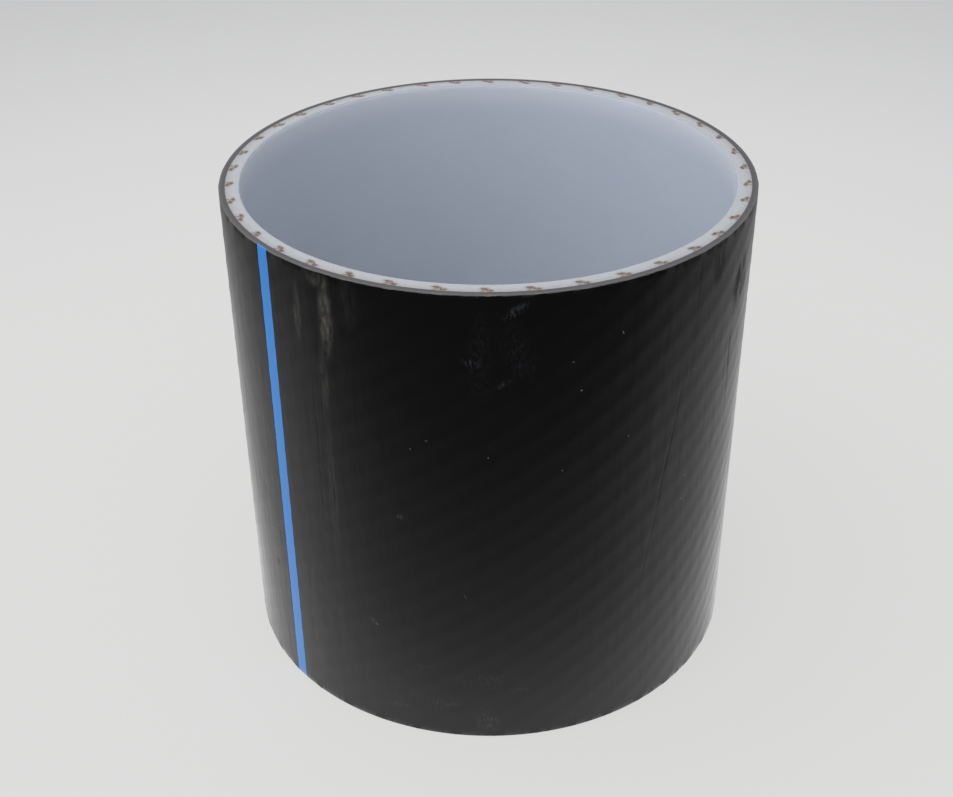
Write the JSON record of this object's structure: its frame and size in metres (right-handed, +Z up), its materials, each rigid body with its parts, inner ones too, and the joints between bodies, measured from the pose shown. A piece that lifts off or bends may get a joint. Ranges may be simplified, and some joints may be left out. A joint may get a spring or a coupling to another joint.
{
  "type": "steel-wire-reinforced plastic pipe",
  "caption": "Short cut length of round plastic pressure pipe: white lining, two crossed windings of steel wire, black jacket with a blue stripe.",
  "frame": {"origin": "centre of the lower sawn end, on the floor the pipe stands on", "axes": "+Z up along the pipe's axis; the blue stripe faces 140.5 degrees clockwise from +X seen from above"},
  "size_m": [0.2, 0.2, 0.193],
  "materials": {
    "white_polyethylene": "natural white polyethylene, smooth in the bore, sawn on the ends",
    "coppered_steel_wire": "copper-coated steel wire, sawn ends dulled brown",
    "black_polyethylene": "extruded black polyethylene, semi-gloss, scuffed",
    "blue_polyethylene": "extruded blue polyethylene, semi-gloss"
  },
  "bodies": {
    "root": {"white_liner": "white_polyethylene", "inner_winding_wires": "coppered_steel_wire", "outer_winding_wires": "coppered_steel_wire", "black_jacket": "black_polyethylene", "blue_stripe": "blue_polyethylene"}
  },
  "joints": []
}
